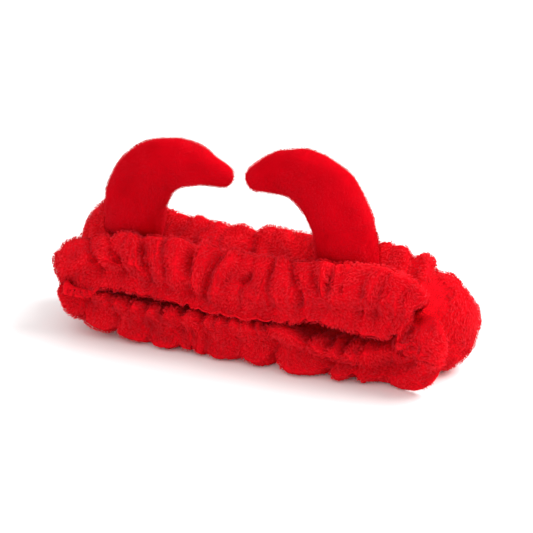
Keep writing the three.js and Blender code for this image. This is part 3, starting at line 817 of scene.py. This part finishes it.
def combBand():
    mesh = bandCloth.data
    points, normals = readPoints(mesh), readNormals(mesh)
    ends = edgeEnds(mesh)
    soft = unit(smoothed(normals, ends, 2))
    lean = unit(noiseField(points, pile["swirlSize"], 5)) + np.array([0, 0, -pile["hang"]])
    lean += 0.2 * noiseField(points, pile["swirlSize"] / 2.5, 6)
    hidden = (1 - smoothstep(np.abs(bandSide), 0.35, 0.62)) * (bandOuter < 0.4) * (points[:, 0] > -0.084)
    cover = 1 - 0.75 * hidden
    high = cadHigh[2] * 0.36
    for tree in hornTrees:  # no tufts under a foot, and those beside it lean away
        for i in np.nonzero(points[:, 2] > high)[0]:
            point = points[i]
            near, _, _, gap = tree.find_nearest(Vector(point), 0.007)
            if near is None:
                continue
            cover[i] = min(cover[i], 0.0 if gap < 0.0016 else 1.0)
            away = point - np.array(near)
            lean[i] += away / max(gap, 1e-4) * (1 - gap / 0.007) * 2.5
    lean = unit(lean - soft * np.sum(lean * soft, axis=1, keepdims=True))
    tall = 0.36 + 0.69 * smoothstep(bandCrest, 0.05, 0.65)
    under = np.clip((0.006 - points[:, 2]) / 0.005, 0, 1)  # pressed flat where it lies
    tall *= 1 - 0.6 * under
    cover *= 1 - 0.6 * under
    storeVectors(mesh, "comb", lean)
    storeVectors(mesh, "out", soft)
    storeFloats(mesh, "cover", cover)
    storeFloats(mesh, "tall", tall)
    # crest also masks the painted crease and valley shade of the pile
    storeFloats(mesh, "crest", bandCrest)

def combHorn(obj, seed):
    points, normals = readPoints(obj.data), readNormals(obj.data)
    lean = noiseField(points, fuzz["swirlSize"], seed) + np.array([0.25, 0, -0.35])
    lean = unit(lean - normals * np.sum(lean * normals, axis=1, keepdims=True))
    storeVectors(obj.data, "comb", lean)
    storeVectors(obj.data, "out", normals)
    storeFloats(obj.data, "cover", smoothstep(points[:, 2], 0.046, 0.054))
    storeFloats(obj.data, "tall", np.ones(len(points)))

def zones(count):  # stretches of the loop's quads
    return np.array_split(np.arange(len(bandCloth.data.polygons)), count)

def subMesh(mesh, polygons, name):
    bm = bmesh.new()
    bm.from_mesh(mesh)
    bm.faces.ensure_lookup_table()
    first, last = polygons[0], polygons[-1]
    bmesh.ops.delete(bm, geom=[f for f in bm.faces if not first <= f.index <= last], context="FACES")
    piece = bpy.data.meshes.new(name)
    bm.to_mesh(piece)
    bm.free()
    return piece


# materials

def ramp(nodes, stops):
    node = nodes.new("ShaderNodeValToRGB")
    elements = node.color_ramp.elements
    while len(elements) < len(stops):
        elements.new(0.5)
    for element, (at, colour) in zip(elements, stops):
        element.position = at
        element.color = (*colour, 1)
    return node

def attributeNode(nodes, name):
    node = nodes.new("ShaderNodeAttribute")
    node.attribute_name = name
    return node

def noiseNode(nodes, links, scale, detail=3.0):
    place = nodes.new("ShaderNodeTexCoord")
    node = nodes.new("ShaderNodeTexNoise")
    node.inputs["Scale"].default_value = scale
    node.inputs["Detail"].default_value = detail
    links.new(place.outputs["Object"], node.inputs["Vector"])
    return node

def mixNode(nodes, links, a, b, factor, blend="MIX"):
    node = nodes.new("ShaderNodeMix")
    node.data_type = "RGBA"
    node.blend_type = blend
    for socket, value in (("Factor_Float", factor), ("A_Color", a), ("B_Color", b)):
        target = [s for s in node.inputs if s.identifier == socket][0]
        if isinstance(value, (int, float)):
            target.default_value = value
        elif isinstance(value, tuple):
            target.default_value = (*value, 1)
        else:
            links.new(value, target)
    return [s for s in node.outputs if s.identifier == "Result_Color"][0]

# long pile colours from root to tip: the dark roots are painted shade among the fibres, the light tips a painted
# highlight
plush = {
    "root": (0.54, 0.0, 0.005),
    "middle": (0.84, 0.0, 0.009),
    "tip": (0.97, 0.018, 0.040),
    # pale: painted highlight on the tips of random locks
    "pale": (0.97, 0.09, 0.11),
    "sheen": 0.40, "sheenTint": (1.0, 0.2, 0.32),
}

def plushMaterial(name, depth):
    material, nodes, links, shader = newMaterial(name)
    along = attributeNode(nodes, "along")
    # painted shade at the roots and painted highlight at the tips, along each fibre
    shade = ramp(nodes, [(0.0, plush["root"]), (0.45, plush["middle"]), (1.0, plush["tip"])])
    links.new(along.outputs["Fac"], shade.inputs["Fac"])
    # painted highlight: random locks go pale towards their tips, as strongly as depth says
    tuft = attributeNode(nodes, "tuft")
    paleTipHighlight = nodes.new("ShaderNodeMath")
    paleTipHighlight.operation = "MULTIPLY"
    links.new(tuft.outputs["Fac"], paleTipHighlight.inputs[0])
    links.new(along.outputs["Fac"], paleTipHighlight.inputs[1])
    paleTipHighlightShare = nodes.new("ShaderNodeMath")
    paleTipHighlightShare.operation = "MULTIPLY"
    paleTipHighlightShare.inputs[1].default_value = depth
    links.new(paleTipHighlight.outputs[0], paleTipHighlightShare.inputs[0])
    colour = mixNode(nodes, links, shade.outputs["Color"], plush["pale"], paleTipHighlightShare.outputs[0])
    patch = noiseNode(nodes, links, 55.0)
    patches = ramp(nodes, [(0.35, (0.80, 0.80, 0.80)), (0.7, (1.0, 1.0, 1.0))])
    links.new(patch.outputs["Fac"], patches.inputs["Fac"])
    colour = mixNode(nodes, links, colour, patches.outputs["Color"], 1.0, "MULTIPLY")
    # painted shade: the pile is painted darker and deeper red down in the creases and the valley, where crest is low
    crest = attributeNode(nodes, "crest")
    fold = ramp(nodes, [(0.0, (0.36, 0.2, 0.2)), (0.3, (0.74, 0.6, 0.6)), (0.7, (1.0, 1.0, 1.0))])
    links.new(crest.outputs["Fac"], fold.inputs["Fac"])
    colour = mixNode(nodes, links, colour, fold.outputs["Color"], 1.0, "MULTIPLY")
    links.new(colour, shader.inputs["Base Color"])
    shader.inputs["Roughness"].default_value = 0.85
    shader.inputs["Specular IOR Level"].default_value = 0.06
    shader.inputs["Sheen Weight"].default_value = plush["sheen"]
    shader.inputs["Sheen Roughness"].default_value = 0.45
    shader.inputs["Sheen Tint"].default_value = (*plush["sheenTint"], 1)
    glow = nodes.new("ShaderNodeBsdfTranslucent")
    links.new(colour, glow.inputs["Color"])
    both = nodes.new("ShaderNodeMixShader")
    both.inputs[0].default_value = 0.42
    links.new(shader.outputs[0], both.inputs[1])
    links.new(glow.outputs[0], both.inputs[2])
    links.new(both.outputs[0], nodes["Material Output"].inputs["Surface"])
    return material

def clothMaterial():
    material, nodes, links, shader = newMaterial("backing")
    grain = noiseNode(nodes, links, 900.0)
    shade = ramp(nodes, [(0.3, (0.60, 0.0, 0.006)), (0.7, (0.78, 0.002, 0.010))])
    links.new(grain.outputs["Fac"], shade.inputs["Fac"])
    links.new(shade.outputs["Color"], shader.inputs["Base Color"])
    shader.inputs["Roughness"].default_value = 0.95
    shader.inputs["Specular IOR Level"].default_value = 0.1
    return material

velour = {
    "dark": (0.47, 0.0, 0.004),
    "light": (0.57, 0.0, 0.0055),
    # tip: painted highlight, the lighter rim that the fuzz tips give the horns
    "tip": (0.86, 0.03, 0.055),
    "sheen": 0.7, "sheenTint": (1.0, 0.02, 0.05),
}

def velourMaterial(name, tipped):
    material, nodes, links, shader = newMaterial(name)
    broad = noiseNode(nodes, links, 45.0)
    shade = ramp(nodes, [(0.3, velour["dark"]), (0.7, velour["light"])])
    links.new(broad.outputs["Fac"], shade.inputs["Fac"])
    colour = shade.outputs["Color"]
    if tipped:
        # painted highlight: the horn fuzz goes lighter towards its tips
        along = attributeNode(nodes, "along")
        share = ramp(nodes, [(0.3, (0.0, 0.0, 0.0)), (1.0, (0.45, 0.45, 0.45))])
        links.new(along.outputs["Fac"], share.inputs["Fac"])
        colour = mixNode(nodes, links, colour, velour["tip"], share.outputs["Color"])
    links.new(colour, shader.inputs["Base Color"])
    fine = noiseNode(nodes, links, 1400.0, 2.0)
    bump = nodes.new("ShaderNodeBump")
    bump.inputs["Strength"].default_value = 0.35
    bump.inputs["Distance"].default_value = 0.0004
    links.new(fine.outputs["Fac"], bump.inputs["Height"])
    links.new(bump.outputs["Normal"], shader.inputs["Normal"])
    shader.inputs["Roughness"].default_value = 0.9
    shader.inputs["Specular IOR Level"].default_value = 0.02
    shader.inputs["Sheen Weight"].default_value = velour["sheen"]
    shader.inputs["Sheen Roughness"].default_value = 0.35
    shader.inputs["Sheen Tint"].default_value = (*velour["sheenTint"], 1)
    return material

longPile = plushMaterial("long_pile", 0.38)
backing = clothMaterial()
velourCloth, velourPile = velourMaterial("velour", False), velourMaterial("velour_pile", True)
for cover in horns:
    cover.data.materials.clear()
    cover.data.materials.append(velourCloth)
bandCloth.data.materials.clear()
bandCloth.data.materials.append(backing)
print("materials made")


# spread the pile

combBand()
tufts = tuftCollection("tufts", pile)
pileTree = spreadTree("spread_pile")
pilePieces = []
for number, polygons in enumerate(zones(pile["pieces"])):
    name = "band_pile_%d" % (number + 1)
    obj = addObject(name, subMesh(bandCloth.data, polygons, name))
    modifier = obj.modifiers.new("pile", "NODES")
    modifier.node_group = pileTree
    setInputs(modifier, pileTree, {"Tufts": tufts, "Material": longPile, "Spacing": pile["spacing"],
                                   "Density": pile["density"], "Jitter": pile["jitter"], "Seed": number * 100})
    evaluated(obj, name)
    pilePieces.append(obj)
    print(name, "triangles", sum(len(p.vertices) - 2 for p in obj.data.polygons))
dropCollection(tufts)

shortTufts = tuftCollection("short_tufts", fuzz)
fuzzPieces = []
for number, cover in enumerate(horns):
    combHorn(cover, 20 + number)
    name = ("left", "right")[number] + "_horn_pile"
    obj = addObject(name, cover.data.copy())
    modifier = obj.modifiers.new("pile", "NODES")
    modifier.node_group = pileTree
    setInputs(modifier, pileTree, {"Tufts": shortTufts, "Material": velourPile, "Spacing": fuzz["spacing"],
                                   "Density": fuzz["density"], "Jitter": fuzz["jitter"], "Seed": 700 + number})
    evaluated(obj, name)
    fuzzPieces.append(obj)
    print(name, "triangles", sum(len(p.vertices) - 2 for p in obj.data.polygons))
dropCollection(shortTufts)


# attach the new pieces to the root body and hide the parts they replace

for cover, node in zip(horns, ("horn_left", "horn_right")):
    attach(cover, "root")
    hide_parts(node)
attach(bandCloth, "root")
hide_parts("band")
for obj in pilePieces:
    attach(obj, "root")
for obj in fuzzPieces:
    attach(obj, "root")
